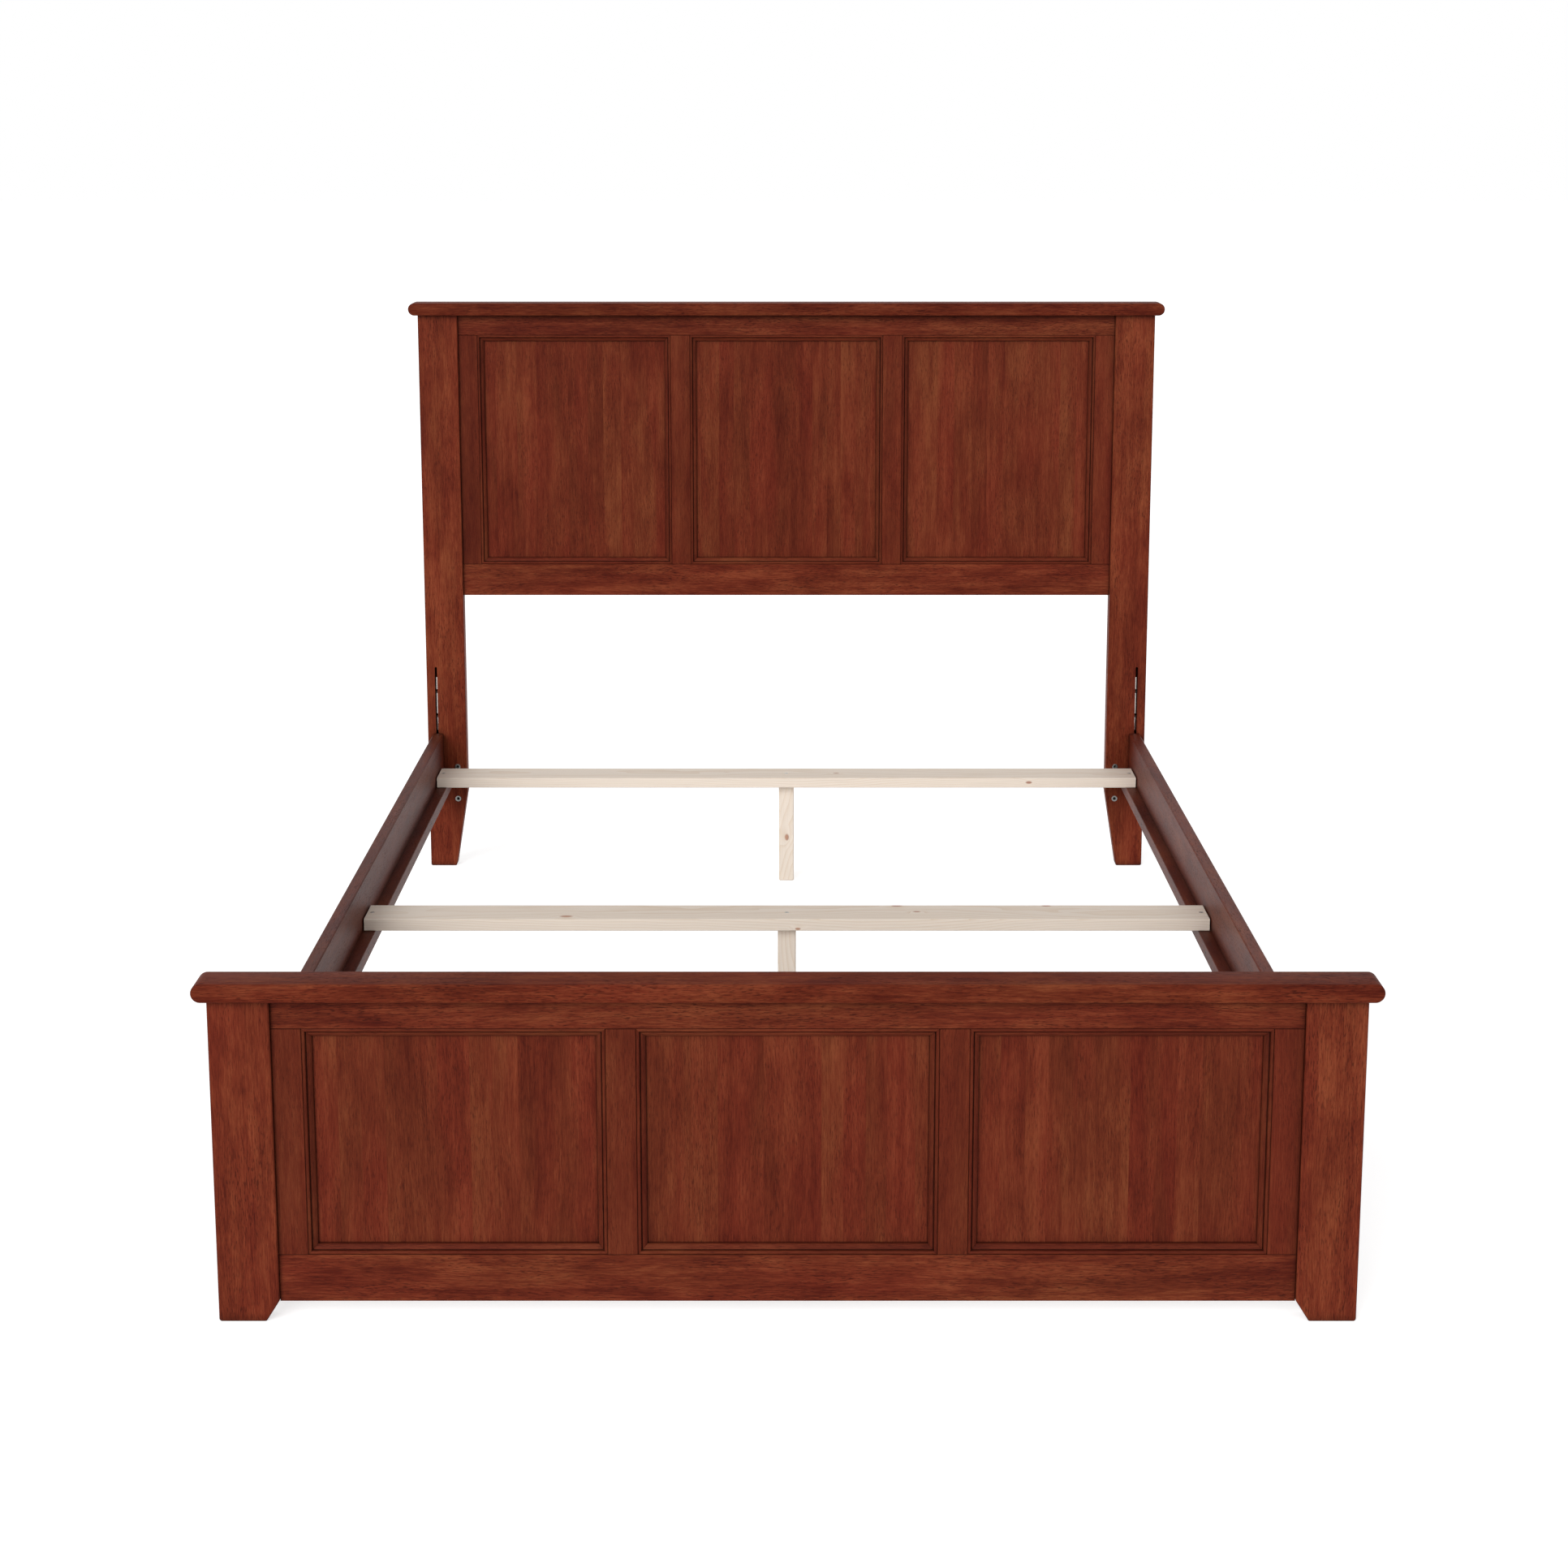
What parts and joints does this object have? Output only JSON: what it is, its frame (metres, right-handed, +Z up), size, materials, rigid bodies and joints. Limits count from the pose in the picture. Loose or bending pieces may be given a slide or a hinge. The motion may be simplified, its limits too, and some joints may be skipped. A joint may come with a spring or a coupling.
{
  "type": "panel bed",
  "caption": "Stained wood panel bed with moulded panels in head and foot boards, hook-on side rails and pine slats on centre legs.",
  "frame": {"origin": "on the floor under the middle of the bed", "axes": "+X to the right seen from the foot, +Y towards the head board, +Z up"},
  "size_m": [1.648, 2.139, 1.275],
  "materials": {
    "stained_wood": "reddish brown stain under satin lacquer",
    "stained_panel": "edge-glued staves, reddish brown stain under satin lacquer",
    "stained_moulding": "reddish brown stain under satin lacquer",
    "raw_pine": "bare planed pine",
    "dowel_wood": "bare beech",
    "plated_steel": "zinc plated",
    "blackened_steel": "blackened"
  },
  "bodies": {
    "root": {"centre_leg_foot": "raw_pine", "centre_leg_head": "raw_pine", "centre_leg_middle": "raw_pine", "cleat_screws": "blackened_steel", "foot_bottom_rail": "stained_wood", "foot_cap": "stained_wood", "foot_cap_dowels": "dowel_wood", "foot_moulding_left": "stained_moulding", "foot_moulding_middle": "stained_moulding", "foot_moulding_right": "stained_moulding", "foot_mullion_left": "stained_wood", "foot_mullion_right": "stained_wood", "foot_panel_left": "stained_panel", "foot_panel_middle": "stained_panel", "foot_panel_right": "stained_panel", "foot_post_left": "stained_wood", "foot_post_right": "stained_wood", "foot_stile_left": "stained_wood", "foot_stile_right": "stained_wood", "foot_top_rail": "stained_wood", "head_bottom_rail": "stained_wood", "head_cap": "stained_wood", "head_cap_dowels": "dowel_wood", "head_moulding_left": "stained_moulding", "head_moulding_middle": "stained_moulding", "head_moulding_right": "stained_moulding", "head_mullion_left": "stained_wood", "head_mullion_right": "stained_wood", "head_panel_left": "stained_panel", "head_panel_middle": "stained_panel", "head_panel_right": "stained_panel", "head_post_left": "stained_wood", "head_post_right": "stained_wood", "head_stile_left": "stained_wood", "head_stile_right": "stained_wood", "head_top_rail": "stained_wood", "hook_pins_foot": "blackened_steel", "hook_pins_head": "blackened_steel", "hook_plate_foot_left": "plated_steel", "hook_plate_foot_right": "plated_steel", "hook_plate_head_left": "plated_steel", "hook_plate_head_right": "plated_steel", "hook_plate_screws": "blackened_steel", "insert_nuts": "plated_steel", "leg_screws": "plated_steel", "side_rail_left": "stained_wood", "side_rail_right": "stained_wood", "slat_cleat_left": "stained_wood", "slat_cleat_right": "stained_wood", "slat_foot": "raw_pine", "slat_head": "raw_pine", "slat_middle": "raw_pine", "slat_screws": "plated_steel", "slot_liners_foot": "plated_steel", "slot_liners_head": "plated_steel"}
  },
  "joints": []
}
